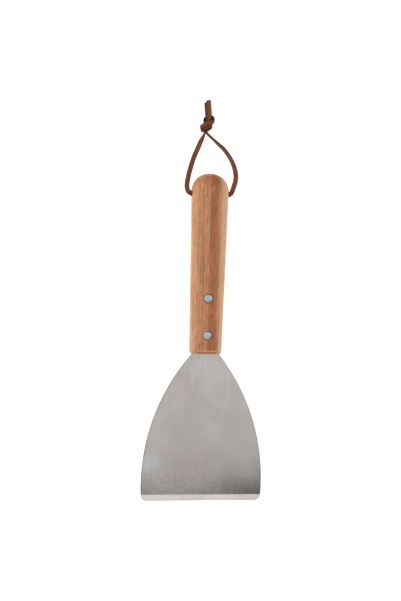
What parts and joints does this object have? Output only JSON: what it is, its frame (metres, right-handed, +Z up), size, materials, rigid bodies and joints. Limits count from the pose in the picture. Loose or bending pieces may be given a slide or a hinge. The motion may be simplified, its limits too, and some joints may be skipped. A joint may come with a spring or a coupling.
{
  "type": "grill spatula",
  "caption": "Flared steel grill spatula with a bevelled edge, its tang riveted into a tapered wooden handle with a domed butt, and a knotted leather lanyard.",
  "frame": {"origin": "middle of the footprint of handle and blade on the table that the tool lies on", "axes": "+Y along the tool towards the butt, +X across the blade, +Z up from the table; the tool is pitched 4.16 degrees about X, as it rests by itself on the blade's edge and the handle's front lower corner"},
  "size_m": [0.1034, 0.347, 0.0298],
  "materials": {
    "wood": "straight-grained orange-brown hardwood, smooth, lightly oiled",
    "steel": "stainless, brushed along the blade",
    "rivet": "satin turned head",
    "leather": "flat brown lace, waxed, darker cut edges"
  },
  "bodies": {
    "tool": {"handle": "wood", "blade": "steel", "rivet_1_male": "rivet", "rivet_1_female": "rivet", "rivet_2_male": "rivet", "rivet_2_female": "rivet"},
    "lanyard": {"lace_loop": "leather", "lace_knot": "leather", "lace_tail_upper": "leather", "lace_tail_lower": "leather"}
  },
  "joints": [
    {"name": "lanyard_swing", "type": "hinge", "parent": "tool", "child": "lanyard", "pos_m": [0, 0.12126, 0.01961], "axis": [1, 0, 0], "range_deg": [0, 160]}
  ]
}
